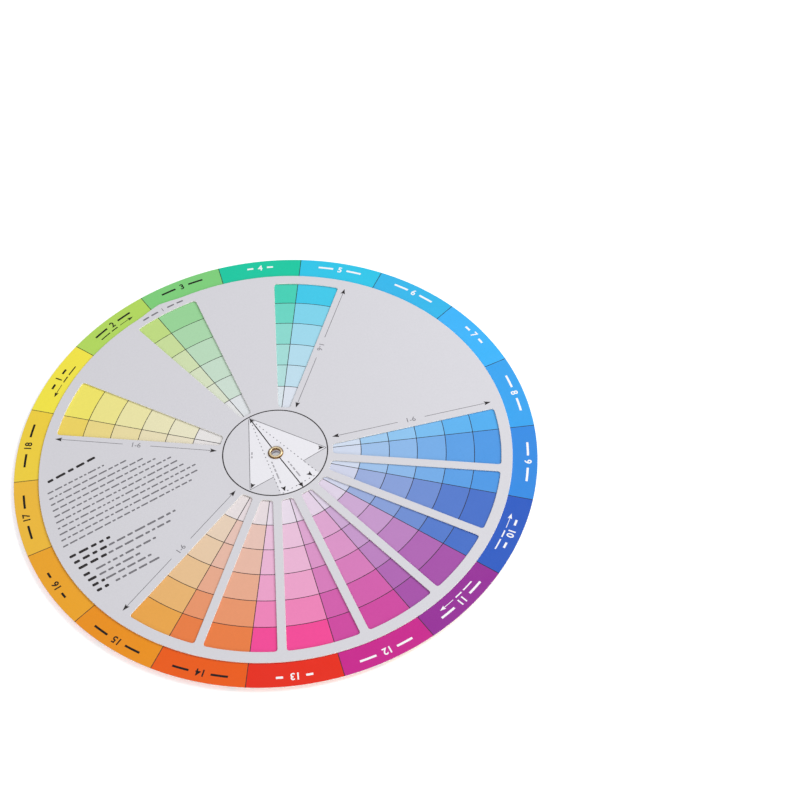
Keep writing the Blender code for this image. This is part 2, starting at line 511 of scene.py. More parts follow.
def edge_rows(thickness, rounding):
    """Offset and height of the rows down a cut edge: a quarter circle, then straight to mid-height."""
    offset = np.append(rounding * (np.sin(QUARTER_TURN) - 1), 0)
    height = np.append(rounding * (np.cos(QUARTER_TURN) - 1), -thickness / 2)
    return offset, height


QUARTER_TURN = np.radians([0, 30, 60, 90])
# Rows of a cut edge that still have the face's film.
EDGE_FILM_ROWS = 1


def rounded_square(setbacks, halves, straights):
    """Outline of the unit square with corners bent by quadratic curves, and the plain square to match.

    Both start at a corner's middle and go round (0, 1), (1, 1), (1, 0), (0, 0). setbacks are how far each
    corner is cut back across the outer side, across the inner side and along the sides.
    """
    outer, inner, along = setbacks
    corners = np.array([(0, 1), (1, 1), (1, 0), (0, 0)], float)
    before = np.array([(0, 1 - along), (1 - outer, 1), (1, along), (inner, 0)])
    after = np.array([(outer, 1), (1, 1 - along), (1 - inner, 0), (0, along)])
    t = np.linspace(0, 1, 2 * halves + 1)[None, :, None]
    bend = (1 - t) ** 2 * before[:, None] + 2 * t * (1 - t) * corners[:, None] + t**2 * after[:, None]
    u = np.linspace(0, 1, straights + 1)[None, 1:-1, None]
    run = (1 - u) * after[:, None] + u * np.roll(before, -1, 0)[:, None]
    rounded = np.roll(np.concatenate([bend, run], 1).reshape(-1, 2), -halves, 0)
    shares = square_shares(halves, straights)[None, :-1, None]
    plain = (1 - shares) * corners[:, None] + shares * np.roll(corners, -1, 0)[:, None]
    return rounded, plain.reshape(-1, 2)


def square_shares(halves, straights):
    """Shares of the way along a sector's side at which it has points, closer together near its corners."""
    ends = np.linspace(0, CORNER_SHARE, halves + 1)
    middle = np.linspace(CORNER_SHARE, 1 - CORNER_SHARE, straights + 1)[1:-1]
    return np.concatenate([ends, middle, 1 - ends[::-1]])


# Steps along half a corner and along a straight side, and the share of a sector's side that goes to a corner.
CORNER_HALVES, SIDE_STRAIGHTS = 4, 10
CORNER_SHARE = 0.06
# Plain card inside the innermost window, and the rows on it from there to the hole.
HUB_MARGIN = 1.4 * MM
HUB_ROWS = 5


def die_cut_face(radius_at, pitch, first, windows, thickness, face_slot):
    """One face of a dial, down to the middle of its cut edges.

    It is a ring of equal sectors between the hub and the dial's edge. A sector with a window is swept from
    the window's outline out to the sector's, and its rows go down the window's cut edge. A plain sector is a
    grid of its own angle and radius. Bands down the dial's edge and the eyelet's hole finish it.
    """
    card = bpy.context.scene.wheel_card
    offset, height = edge_rows(thickness, card.cut_round)
    edge_slots = np.where(np.arange(len(offset) - 1) < EDGE_FILM_ROWS, face_slot, CORE)[:, None]
    hub = min(window[0] for window in windows.values()) - HUB_MARGIN
    shares = square_shares(CORNER_HALVES, SIDE_STRAIGHTS)
    shell = Shell()

    def sector(place, across, out):
        angle = np.radians(first + (place + across) * pitch)
        return round_the_axis(hub + out * (radius_at(angle) - card.cut_round - hub), angle)

    for place in range(round(360 / pitch)):
        if place not in windows:
            across, out = np.meshgrid(shares, shares)
            shell.grid(lifted(sector(place, across, out), 0), face_slot)
            continue
        inner, outer, margin, corner = windows[place]
        width = np.radians(pitch) * np.array([outer, inner]) - 2 * margin
        setbacks = (*corner / width, corner / (outer - inner))
        rounded, plain = rounded_square(setbacks, CORNER_HALVES, SIDE_STRAIGHTS)
        radius = inner + rounded[:, 1] * (outer - inner)
        inset = np.arcsin(margin / radius)
        start = np.radians(first + place * pitch) + inset
        loop = round_the_axis(radius, start + rounded[:, 0] * (np.radians(pitch) - 2 * inset))
        ahead = np.roll(loop, -1, 0) - np.roll(loop, 1, 0)
        away = np.stack([-ahead[:, 1], ahead[:, 0]], -1) / np.linalg.norm(ahead, axis=1, keepdims=True)
        away *= np.sign(((loop - loop.mean(0)) * away).sum())
        rows = [lifted(loop - away * step, drop) for step, drop in zip(offset[::-1], height[::-1])]
        rows.append(lifted(sector(place, *plain.T), 0))
        shell.grid(np.stack(rows), np.append(edge_slots[::-1], [[face_slot]], 0), wrap=(False, True))

    sectors = np.arange(round(360 / pitch))
    turns = np.radians(first + np.add.outer(sectors, shares[:-1]).ravel() * pitch)
    edge = round_the_axis(radius_at(turns) + offset[:, None], turns)
    shell.grid(lifted(edge, height[:, None]), edge_slots, wrap=(False, True))
    inside = np.linspace(card.hole_radius + card.cut_round, hub, HUB_ROWS + 1)[1:]
    middle = round_the_axis(np.append(card.hole_radius - offset[::-1], inside)[:, None], turns)
    drops = np.append(height[::-1], np.zeros(HUB_ROWS))
    middle_slots = np.append(edge_slots[::-1], np.full((HUB_ROWS, 1), face_slot), 0)
    shell.grid(lifted(middle, drops[:, None]), middle_slots, wrap=(False, True))
    return shell


# Printed marks


# Steps in degrees along arcs: plain ones, and the short ones of dashes and small arrows.
ARC_STEP, DASH_STEP, ARROW_STEP = 1.5, 0.6, 0.5


def arc_path(share, start, end, step=ARC_STEP):
    """Points along a circle about the axis, from one clockwise angle to another."""
    count = max(2, math.ceil(abs(end - start) / step) + 1)
    return spot(share, np.linspace(start, end, count))


# How far from its tip the notch in an arrowhead's back stands, as a share of its length, and how high
# arrowheads stand over lines, in ink heights.
ARROW_NOTCH, HEAD_RISE = 0.82, 1.2
# Dashes in shares of their height: the shortest and longest, plain and bold, the gap between two, the least
# room for a last one, the cut of their corners along them and half the height that their ends keep.
# DASH_DRAWS is how many lengths are drawn for a line.
SHORTEST_DASH, LONGEST_DASH, LONGEST_BOLD = 1.4, 5.2, 3.6
DASH_GAP = 1.05
LAST_DASH = 1.2
DASH_CUT, DASH_FLANK = 0.24, 0.28
DASH_DRAWS = 64
# The gap after the bold part of a line, as a share of the line, and what the plain part adds to the line's
# seed.
BOLD_GAP = 0.02
PLAIN_SEED = 50
# Height of a figure as a share of the font's size.
FIGURE_SHARE = 0.69


def arrow_head(tip, towards, length, width):
    """A swept-back triangle whose tip is at a point and which points along a direction."""
    ahead = towards / np.linalg.norm(towards)
    side = np.array([-ahead[1], ahead[0]]) * width / 2
    back = tip - ahead * length
    return np.stack([tip, back + side, tip - ahead * length * ARROW_NOTCH, back - side])


def dashes(start, end, height, seed, longest=LONGEST_DASH):
    """Dashes of small print along a line, as bars with cut corners: random lengths, one gap apart."""
    span = np.linalg.norm(end - start)
    lengths = np.random.default_rng(seed).uniform(SHORTEST_DASH, longest, DASH_DRAWS) * height
    stops = np.cumsum(lengths + DASH_GAP * height)
    begins = np.append(0, stops[:-1])
    kept = begins < span - LAST_DASH * height
    begins, stops = begins[kept], np.minimum(stops[kept] - DASH_GAP * height, span)
    ahead = (end - start) / span
    side = np.array([-ahead[1], ahead[0]])
    # The eight corners of a dash: at which end each stands, how far in from it, and how far up.
    ends = np.array([0, 0, 1, 1, 1, 1, 0, 0])
    inset = np.array([0, 1, -1, 0, 0, -1, 1, 0]) * DASH_CUT * height
    flank = DASH_FLANK
    up = np.array([flank, 0.5, 0.5, flank, -flank, -0.5, -0.5, -flank]) * height
    along = begins[:, None] * (1 - ends) + stops[:, None] * ends + inset
    return start + along[..., None] * ahead + up[None, :, None] * side


def numeral(text, height, thicken, depth):
    """Points and faces of plain numerals, centred on the origin. depth is half their thickness."""
    curve = bpy.data.curves.new("numeral", "FONT")
    curve.body = text
    curve.size = height / FIGURE_SHARE
    curve.align_x = "CENTER"
    curve.offset = thicken
    curve.resolution_u = 4
    curve.extrude = depth
    holder = bpy.data.objects.new("numeral", curve)
    bpy.context.scene.collection.objects.link(holder)
    mesh = bpy.data.meshes.new_from_object(holder.evaluated_get(bpy.context.evaluated_depsgraph_get()))
    points = np.empty(len(mesh.vertices) * 3)
    mesh.vertices.foreach_get("co", points)
    points = points.reshape(-1, 3)
    points[:, :2] -= (points[:, :2].min(0) + points[:, :2].max(0)) / 2
    faces = [list(face.vertices) for face in mesh.polygons]
    bpy.data.objects.remove(holder)
    bpy.data.curves.remove(curve)
    bpy.data.meshes.remove(mesh)
    return points, faces


class Marks(Shell):
    """Printed marks on a face at zero height, one ink height deep. A rise lifts some marks over others."""

    def __init__(self):
        super().__init__()
        self.sizes = bpy.context.scene.wheel_print
        self.ink = self.sizes.ink_height

    def line(self, path, width, slot=0, rise=1.0, closed=False):
        """A line of one width: a rectangle carried along a flat path, square to it."""
        ahead = np.roll(path, -1, 0) - np.roll(path, 1, 0)
        if not closed:
            ahead[0], ahead[-1] = path[1] - path[0], path[-1] - path[-2]
        ahead /= np.linalg.norm(ahead, axis=1, keepdims=True)
        side = np.stack([-ahead[:, 1], ahead[:, 0]], -1) * width / 2
        left, right, low, high = path + side, path - side, -self.ink, self.ink * rise
        section = np.stack([lifted(left, high), lifted(right, high), lifted(right, low), lifted(left, low)])
        blocks = [quads_between(section.shape[:2], (True, closed)).reshape(-1, 4)]
        if not closed:
            starts = np.arange(4) * len(path)
            blocks.append([starts, starts[::-1] + len(path) - 1])
        self.add(section, blocks, slot)

    def straight(self, start, end, width, slot=0, rise=1.0):
        """A straight line between two points."""
        self.line(np.stack([start, end]), width, slot, rise)

    def patch(self, loops, slot=0, rise=1.0, colour=WHITE):
        """Flat patches of ink: one outline, or a stack of outlines of equal length."""
        loops = np.asarray(loops, float)
        loops = loops if loops.ndim == 3 else loops[None]
        many, corners = loops.shape[:2]
        points = np.stack([lifted(loops, self.ink * rise), lifted(loops, -self.ink)], 1)
        start = np.arange(many)[:, None] * 2 * corners
        top = start + np.arange(corners)
        bottom = top + corners
        edge = np.stack([top, bottom, np.roll(bottom, -1, 1), np.roll(top, -1, 1)], -1).reshape(-1, 4)
        self.add(points, [np.vstack([top, bottom[:, ::-1]]), edge], slot, colour)

    def arrow(self, tip, towards, size, slot=0, rise=HEAD_RISE):
        """An arrowhead, from its length and width in millimetres."""
        length, width = size
        self.patch(arrow_head(tip, towards, length * MM, width * MM), slot, rise)

    def write(self, text, centre, up, height, slot=0, thicken=0.0):
        """Plain numerals, with their tops towards a direction."""
        points, faces = numeral(text, height, thicken, self.ink)
        up = np.asarray(up) / np.linalg.norm(up)
        right = np.array([up[1], -up[0]])
        flat = centre + points[:, :1] * right + points[:, 1:2] * up
        self.add(np.column_stack([flat, points[:, 2]]), [[face] for face in faces], slot)

    def small_print(self, blocks, black, grey):
        """Blocks of small print as dashes, the bold part of each line first."""
        seed = self.sizes.seed
        size = self.sizes.print_height
        for right, down, step_right, step_down, fall, bold_height, plain_height, lines in blocks:
            for line, (width, bold) in enumerate(lines):
                start = seen(right + line * step_right, down + line * step_down)
                end = start + seen(width, width * fall)
                split = start + (end - start) * bold
                seed += 1
                if bold:
                    stop = split - (end - start) * BOLD_GAP
                    self.patch(dashes(start, stop, bold_height * size, seed, LONGEST_BOLD), black)
                if bold < 1:
                    self.patch(dashes(split, end, plain_height * size, seed + PLAIN_SEED), grey)


def line_knots(centres, half_width, radius):
    """Angles of the two edges of straight radial lines at a radius: centre -+ asin(half width / radius)."""
    edge = math.asin(half_width / radius)
    return np.add.outer(centres, [-edge, edge]).ravel()


def warped(base, centres, outer_half, half_width, radius, outer, least):
    """Angles at one radius of columns that stand at the base angles on the outer edge.

    The columns on a line's edges follow it inwards, and a column between two lines keeps its share of the way
    across. Inside the least radius nothing is printed, and the angles stay as they are there.
    """
    inwards = line_knots(centres, half_width, max(radius, least))
    return np.interp(base, line_knots(centres, outer_half, outer), inwards)


# Finishes


def add_node(tree, kind, inputs=None, **settings):
    """Adds a node with its settings. An input that is a socket is linked, and any other is set."""
    node = tree.nodes.new(kind)
    for name, value in settings.items():
        setattr(node, name, value)
    for name, value in (inputs or {}).items():
        if isinstance(value, bpy.types.NodeSocket):
            tree.links.new(value, node.inputs[name])
        else:
            node.inputs[name].default_value = value
    return node


def new_finish(name, **sockets):
    """A material with one Principled shader, and its tree, shader and object coordinates."""
    material = bpy.data.materials.new(name)
    material.use_nodes = True
    shader = material.node_tree.nodes["Principled BSDF"]
    for socket, value in sockets.items():
        shader.inputs[socket.replace("_", " ")].default_value = value
    place = add_node(material.node_tree, "ShaderNodeTexCoord").outputs["Object"]
    return material, material.node_tree, shader, place


def rgba(colour):
    return (*colour, 1.0)


def set_colour(name):
    """A colour setting, in linear light."""
    return np.array(getattr(bpy.context.scene.wheel_colours, name))


def calculated(tree, operation, first, second):
    """The result of an operation on two values."""
    return add_node(tree, "ShaderNodeMath", {0: first, 1: second}, operation=operation).outputs[0]


def blended(tree, factor, first, second):
    """A blend of two colours. The second may be a socket."""
    shade = add_node(tree, "ShaderNodeMix", {"Factor": factor, 7: second}, data_type="RGBA")
    shade.inputs[6].default_value = rgba(first)
    return shade.outputs[2]


def grain(tree, place, size, detail=3.0, squash=(1, 1, 1)):
    """Noise whose blotches are about a size across, from 0 to 1."""
    spread = add_node(tree, "ShaderNodeMapping", {"Vector": place, "Scale": squash}).outputs["Vector"]
    sockets = {"Vector": spread, "Scale": 1 / size, "Detail": detail}
    return add_node(tree, "ShaderNodeTexNoise", sockets).outputs["Fac"]


def ranged(tree, value, low, high, start=0.3, stop=0.7):
    """A value from start to stop, mapped to run from low to high. Noise mostly lies from 0.3 to 0.7."""
    sockets = {"Value": value, "From Min": start, "From Max": stop, "To Min": low, "To Max": high}
    return add_node(tree, "ShaderNodeMapRange", sockets).outputs["Result"]


def laminated_card(name, setting=None):
    """Offset-printed card under a clear satin film.

    The eye sees an even ink with a faint mottle of paper fibres about 1 mm across, a satin sheen that varies
    over some millimetres, and the fine orange peel and slow waviness of the film. Without a colour it shows
    the piece's own print colours.
    """
    material, tree, shader, place = new_finish(
        name, Roughness=0.36, IOR=1.5, Specular_IOR_Level=0.35, Coat_Weight=0.15, Coat_Roughness=0.22
    )
    mottle = ranged(tree, grain(tree, place, 0.9 * MM), 0.985, 1.015)
    if setting is None:
        ink = add_node(tree, "ShaderNodeAttribute", attribute_name="print_colour").outputs["Vector"]
    else:
        ink = add_node(tree, "ShaderNodeCombineXYZ", dict(zip("XYZ", set_colour(setting)))).outputs["Vector"]
    shade = add_node(tree, "ShaderNodeVectorMath", {0: ink, "Scale": mottle}, operation="SCALE")
    tree.links.new(shade.outputs["Vector"], shader.inputs["Base Color"])
    tree.links.new(ranged(tree, grain(tree, place, 7 * MM), 0.31, 0.42), shader.inputs["Roughness"])
    wave = {"Height": grain(tree, place, 38 * MM, 1), "Strength": 1, "Distance": 0.12 * MM}
    wave = add_node(tree, "ShaderNodeBump", wave)
    peel = {"Height": grain(tree, place, 1.1 * MM, 2), "Strength": 0.5, "Distance": 0.006 * MM}
    peel = add_node(tree, "ShaderNodeBump", {**peel, "Normal": wave.outputs["Normal"]})
    tree.links.new(peel.outputs["Normal"], shader.inputs["Normal"])
    return material


def board_core(name, setting):
    """Cut greyboard core: matt, off-white, with the plies of the paper as faint lines along the cut."""
    material, tree, shader, place = new_finish(name, Roughness=0.88, IOR=1.45, Specular_IOR_Level=0.3)
    plies = grain(tree, place, 0.9 * MM, 4, (1, 1, 9))
    colour = set_colour(setting)
    shade = blended(tree, ranged(tree, plies, 0, 1), colour * 0.80, rgba(colour))
    tree.links.new(shade, shader.inputs["Base Color"])
    bump = add_node(tree, "ShaderNodeBump", {"Height": plies, "Strength": 0.6, "Distance": 0.02 * MM})
    tree.links.new(bump.outputs["Normal"], shader.inputs["Normal"])
    return material


def printed_ink(name, setting):
    """Solid ink under the same satin film: an even colour whose sheen varies a little from place to place."""
    colour = rgba(set_colour(setting))
    material, tree, shader, place = new_finish(
        name, Base_Color=colour, IOR=1.5, Specular_IOR_Level=0.35, Coat_Weight=0.15, Coat_Roughness=0.22
    )
    tree.links.new(ranged(tree, grain(tree, place, 5 * MM), 0.32, 0.44), shader.inputs["Roughness"])
    return material


def pressed_metal(name, setting, low, high, handling, flank_shade=None, metallic=1.0):
    """Plated or bright metal pressed in a die: a soft mirror, dull in patches from handling, finely drawn.

    low and high are the roughness of its bright and its dull patches, which are about handling across.
    The flank colour, where given, darkens a bead's flanks as painted shade, and the crest blends back to the
    main colour as a painted highlight.
    """
    material, tree, shader, place = new_finish(name, Metallic=metallic)
    worn = grain(tree, place, handling, 4)
    colour = set_colour(setting)
    shade = blended(tree, ranged(tree, worn, 0, 1), colour * 0.86, rgba(colour))
    # Painted shade and highlight: by height, the bead's flanks take the darker flank colour and its crest the
    # main colour.
    if flank_shade is not None:
        height = add_node(tree, "ShaderNodeSeparateXYZ", {0: place}).outputs["Z"]
        bead = EYELET_HIGH - BEAD_LOW
        crest_highlight = ranged(tree, height, 0, 1, BEAD_LOW + 0.72 * bead, BEAD_LOW + 0.97 * bead)
        shade = blended(tree, crest_highlight, set_colour(flank_shade), shade)
    tree.links.new(shade, shader.inputs["Base Color"])
    tree.links.new(ranged(tree, worn, high, low), shader.inputs["Roughness"])
    lines = grain(tree, place, 0.22 * MM, 3, (1, 1, 5))
    bump = add_node(tree, "ShaderNodeBump", {"Height": lines, "Strength": 0.5, "Distance": 0.008 * MM})
    tree.links.new(bump.outputs["Normal"], shader.inputs["Normal"])
    return material


# How each finish is made, its colour setting, and a metal's own numbers.
FINISHES = {
    "laminated_print": (laminated_card,),
    "laminated_grey": (laminated_card, "grey_card"),
    "laminated_white": (laminated_card, "white_card"),
    "cut_paper_core": (board_core, "core"),
    "black_ink": (printed_ink, "black_ink"),
    "deep_black_ink": (printed_ink, "rim_ink"),
    "grey_ink": (printed_ink, "grey_ink"),
    "white_ink": (printed_ink, "white_ink"),
    # The brass's flank colour paints shade on the bead's flanks, and its crest keeps the main colour as a
    # painted highlight.
    "bright_brass": (pressed_metal, "brass", 0.22, 0.34, 1.6 * MM, "dull_brass", 0.5),
    "bare_steel": (pressed_metal, "steel", 0.24, 0.42, 1.2 * MM),
    # Rolled end: the same steel as the bore, darkened as painted shade.
    "dark_steel": (pressed_metal, "dark_steel", 0.16, 0.32, 1.2 * MM),
    "nickel_plate": (pressed_metal, "nickel", 0.18, 0.32, 1.8 * MM),
}


def finish(name):
    """The wheel's own finish of that name, made once."""
    if name in bpy.data.materials:
        return bpy.data.materials[name]
    maker, *settings = FINISHES[name]
    return maker(name, *settings)


# Base card


# The base card's plain white, the most degrees between two of its columns, the width of the lines between
# tints as a share of the line width setting, and how near a circle, in line widths, the middle of a row on
# its line lies.
BARE_WHITE = "F1F0F4"
COLUMN_STEP = 1.25
TINT_LINE = 1.12
ON_LINE = 0.4
# A turn too small to see, which keeps the first column first.
TINY_TURN = 1e-9


def half_base(columns, centres, half_widths, rows, ends, line, print_colours):
    """One face of the base card, down to the middle of its cut edges.

    It is a grid of radius and angle. rows are the radii where a row stands, and ends are where the rings of
    print start, in shares. Each face of the grid takes its print from the ring and the hue that its middle
    lies in, and print_colours holds a colour for each ring and hue. Columns on the two edges of a radial line
    are warped so that the line keeps its width. half_widths are the lines' half widths on the rim and under
    the dial, and line is the width of the printed circles, in shares.
    """
    card = bpy.context.scene.wheel_card
    outer = card.disc_radius
    offset, height = edge_rows(BASE_HIGH - BASE_LOW, card.cut_round)
    radii = np.concatenate([card.hole_radius - offset[::-1], rows * outer, outer + offset])
    drops = np.concatenate([height[::-1], np.zeros(len(rows)), height])
    on_rim, under_dial = half_widths
    halves = np.where(radii > RIM_START * outer, on_rim, under_dial)
    turns = np.stack([
        warped(columns, centres, on_rim, half, radius, outer, ends[0] * outer)
        for half, radius in zip(halves, radii)
    ])  # fmt: skip
    middles = (radii[:-1] + radii[1:]) / 2 / outer
    beside = (columns + np.append(columns[1:], columns[0] + math.tau)) / 2
    between = np.searchsorted(line_knots(centres, on_rim, outer), beside) - 1
    hue, on_line = between // 2 % (len(centres) - 1), between % 2 == 0
    ring = np.searchsorted(ends, middles) - 1
    on_circle = np.abs(middles[:, None] - ends).min(1) < line * ON_LINE
    printed = (ring >= 0)[:, None]
    slots = np.full((len(middles), len(columns)), FILM)
    slots[on_circle[:, None] | (on_line & printed)] = INK
    cut = len(offset) - 1 - EDGE_FILM_ROWS
    slots[:cut] = CORE
    slots[-cut:] = CORE
    colours = np.where(printed[..., None], print_colours[ring][:, hue], hex_linear(BARE_WHITE))
    shell = Shell()
    shell.grid(lifted(round_the_axis(radii[:, None], turns), drops[:, None]), slots, colours, (False, True))
    return shell


def shared_columns(tint_knots, bar_knots):
    """Angles of the columns of both faces: on the edges of their radial lines, and evenly between those.

    The lower face is turned over about X, so its clockwise angle is the upper face's with its sign changed.
    """
    first = tint_knots[0]
    stops = np.sort(first + np.concatenate([tint_knots - first, -bar_knots - first]) % math.tau)
    gaps = np.diff(np.append(stops, stops[0] + math.tau))
    counts = np.maximum(1, np.ceil(gaps / math.radians(COLUMN_STEP))).astype(int)
    share = np.concatenate([np.arange(count) / count for count in counts])
    return stops.repeat(counts) + gaps.repeat(counts) * share


class WHEEL_OT_base_card(bpy.types.Operator):
    """Base card: 18 hues with their tints on the upper face, and 12 with their mixtures on the lower face"""

    bl_idname = "wheel.base_card"
    bl_label = "Base card"

    def execute(self, context):
        outer = context.scene.wheel_card.disc_radius
        line = context.scene.wheel_print.line_width * TINT_LINE
        bar, inner_bar = BAR_WIDTH * outer / 2, INNER_BAR_WIDTH * outer / 2
        tint_centres = np.radians(TINTS_FIRST + TINTS_PITCH * np.arange(len(TINTS_HUES) + 1))
        mixing_centres = np.radians(MIXING_FIRST + MIXING_PITCH * np.arange(len(MIXING_HUES) + 1))
        bar_knots = line_knots(mixing_centres[:-1], bar, outer)
        columns = shared_columns(line_knots(tint_centres[:-1], line / 2, outer), bar_knots)
        flipped = (-columns % math.tau - bar_knots[0] + TINY_TURN) % math.tau
        flipped = np.sort(bar_knots[0] + flipped - TINY_TURN)

        line_share = line / outer
        circles = np.array(TINT_RINGS)
        lined = np.stack([circles - line_share / 2, circles + line_share / 2], -1).ravel()
        rows = np.concatenate([TINT_ROWS_INSIDE, lined, TINT_ROWS_OUTSIDE])
        halves = (line / 2, line / 2)
        upper = half_base(columns, tint_centres, halves, rows, circles, line_share, tints_and_rims())

        ends = np.array([MIXTURE_START] + [row[0] for row in MIXTURES])
        rows = np.concatenate([MIXTURE_ROWS_INSIDE, ends, MIXTURE_ROWS_OUTSIDE])
        lower = half_base(flipped, mixing_centres, (bar, inner_bar), rows, ends, 0, mixtures_and_rims())

        shell = Shell()
        shell.join(upper, (1, 1, 1), BASE_HIGH)
        shell.join(lower, (1, -1, -1), BASE_LOW)
        finishes = ("laminated_print", "cut_paper_core", "black_ink")
        piece = shell.make("base_card", finishes, "wheel", "printed_card")
        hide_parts("base_disc")
        return {"FINISHED"}


# How much a rim's numbers are thickened. Then a small arrow on a rim, in degrees ahead of its hue's middle:
# its shaft, its tip and a point just behind it, and the dashes of print behind. Heads are in millimetres.
RIM_THICKEN = 0.1 * MM
SHAFT_PLACE, SHAFT_WIDTH = (1.2, 4.4), 0.3 * MM
TIP_PLACE, BEHIND_TIP, SMALL_HEAD = 5.2, 4.6, (2.7, 1.9)
ARROW_DASHES, ARROW_DASH_WIDTH = ((0.4, -1.5), (-2.1, -5.0)), 0.6 * MM


class WHEEL_OT_rim_numbers(bpy.types.Operator):
    """Numbers, dashes and small arrows on both rims of the base card"""

    bl_idname = "wheel.rim_numbers"
    bl_label = "Rim numbers"

    def execute(self, context):
        inks = ("deep_black_ink", "white_ink")
        tints = self.rim(TINTS_HUES, TINTS_FIRST, TINTS_PITCH, TINTS_RIM)
        tints.make("tints_rim_numbers", inks, "wheel", "printed_card", facing_up(BASE_HIGH))
        mixing = self.rim(MIXING_HUES, MIXING_FIRST, MIXING_PITCH, MIXING_RIM)
        mixing.make("mixing_rim_numbers", inks, "wheel", "printed_card", facing_down(BASE_LOW))
        return {"FINISHED"}

    def rim(self, hues, first, pitch, look):
        """The marks of one rim: each hue's number between two dashes, and then the small arrows."""
        marks = Marks()
        height = marks.sizes.number_height * look["taller"]
        share, dash_lengths = look["share"], look["dashes"]
        slots = [("black", "white").index(ink) for _, ink, _ in hues]
        for place, (number, _, _) in enumerate(hues):
            middle = first + pitch * place + pitch / 2
            slot = slots[place]
            marks.write(str(number), spot(share, middle), spot(1, middle), height, slot, RIM_THICKEN)
            for sign in (-1, 1):
                near = middle + sign * look["beside"][number > 9]
                far = near + sign * dash_lengths[place % len(dash_lengths)]
                marks.line(arc_path(share, near, far, DASH_STEP), look["dash_width"], slot)
        for place, sign in look["arrows"].items():
            middle = first + pitch * place + pitch / 2
            self.small_arrow(marks, look["arrow_share"], middle, sign, slots[place])
        return marks

    def small_arrow(self, marks, share, middle, sign, slot):
        """A short arrow along the rim with two dashes behind it."""

        def arc(start, stop, width):
            marks.line(arc_path(share, middle + sign * start, middle + sign * stop, ARROW_STEP), width, slot)

        arc(*SHAFT_PLACE, SHAFT_WIDTH)
        tip = spot(share, middle + sign * TIP_PLACE)
        marks.arrow(tip, tip - spot(share, middle + sign * BEHIND_TIP), SMALL_HEAD, slot)
        for start, stop in ARROW_DASHES:
            arc(start, stop, ARROW_DASH_WIDTH)


# Dials


def make_dial(node, slot, face_finish, printed_above, radius_at, pitch, first, windows):
    """Both faces of a dial, joined at the middle of its cut edges. The face towards the base card is bare."""
    low, high = level(node)
    shell = Shell()
    for printed in (True, False):
        face = die_cut_face(radius_at, pitch, first, windows, high - low, FILM if printed else CORE)
        upward = printed == printed_above
        signs = (1, 1 if printed_above else -1, 1 if upward else -1)
        shell.join(face, signs, high if upward else low)
    piece = shell.make(f"{node}_card", (face_finish, "cut_paper_core"), node, slot)
    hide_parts(node)


class WHEEL_OT_tint_dial(bpy.types.Operator):
    """Tint dial: light grey card with ten wedge windows and a finger peak on its edge"""

    bl_idname = "wheel.tint_dial"
    bl_label = "Tint dial"

    def execute(self, context):
        card = context.scene.wheel_card
        reach = card.dial_radius - card.dial_border
        window = (card.hub_radius, reach, card.spoke_width / 2, card.window_corner)
        windows = dict.fromkeys(WINDOW_PLACES, window)
        peak, half = math.radians(PEAK_PLACE), math.radians(PEAK_HALF_WIDTH)

        def radius_at(angle):
            away = np.abs((angle - peak + math.pi) % math.tau - math.pi) / half
            return card.dial_radius + card.peak_height * np.clip(1 - away, 0, 1)

        shape = (radius_at, WINDOW_PITCH, WINDOW_FIRST, windows)
        make_dial("tint_dial", "grey_card", "laminated_grey", True, *shape)
        return {"FINISHED"}


class WHEEL_OT_mixing_dial(bpy.types.Operator):
    """Mixing dial: white card with one window in each of its five wedges"""

    bl_idname = "wheel.mixing_dial"
    bl_label = "Mixing dial"

    def execute(self, context):
        card = context.scene.wheel_card
        radius = card.dial_radius
        windows = {
            place: (inner * radius, outer * radius, card.wedge_margin, card.wedge_corner)
            for place, (inner, outer) in enumerate(WEDGE_WINDOWS)
        }
        shape = (lambda angle: np.full_like(angle, radius), WEDGE_PITCH, WEDGE_FIRST, windows)
        make_dial("mixing_dial", "white_card", "laminated_white", False, *shape)
        return {"FINISHED"}


# Along an arrow, from its outer end: its two shafts and the middle of the label between them. Then its head
# in millimetres, and the label's height.
ARROW_SHAFTS, LABEL_PLACE = ((0.02, 0.42), (0.59, 0.98)), 0.505
WINDOW_HEAD, LABEL_HEIGHT = (3.2, 2.2), 2.5 * MM
# The print beside the finger peak: its share, its number's height, its dashes' width and their degrees from
# the peak.
PEAK_SHARE, PEAK_NUMBER, PEAK_DASH_WIDTH = 0.886, 2.1 * MM, 0.85 * MM
PEAK_DASHES = ((-6.0, -4.2), (-3.4, -1.4), (1.4, 3.4), (4.2, 6.0))
# The hub's diagram, in the seen face's shares: its circle and how far that stands off the axis, and its white
# field with the side of it that follows an arc of a share, the steps along each side and the hole in it.
HUB_CIRCLE, HUB_SHIFT = 0.201, (-0.001, -0.004)
FIELD_CORNERS = (
    (-0.047, -0.192),
    (0.188, 0.047),
    (0.086, 0.075),
    (0.124, 0.148),
    (-0.038, 0.190),
    (-0.040, 0.105),
    (-0.142, 0.129),
)
FIELD_ARC_SIDE, FIELD_ARC, FIELD_STEPS, FIELD_HOLE = 3, 0.194, 12, 3.0 * MM
FIELD_WHITE, FIELD_PRINT = "E9E8EE", "A9A7AD"
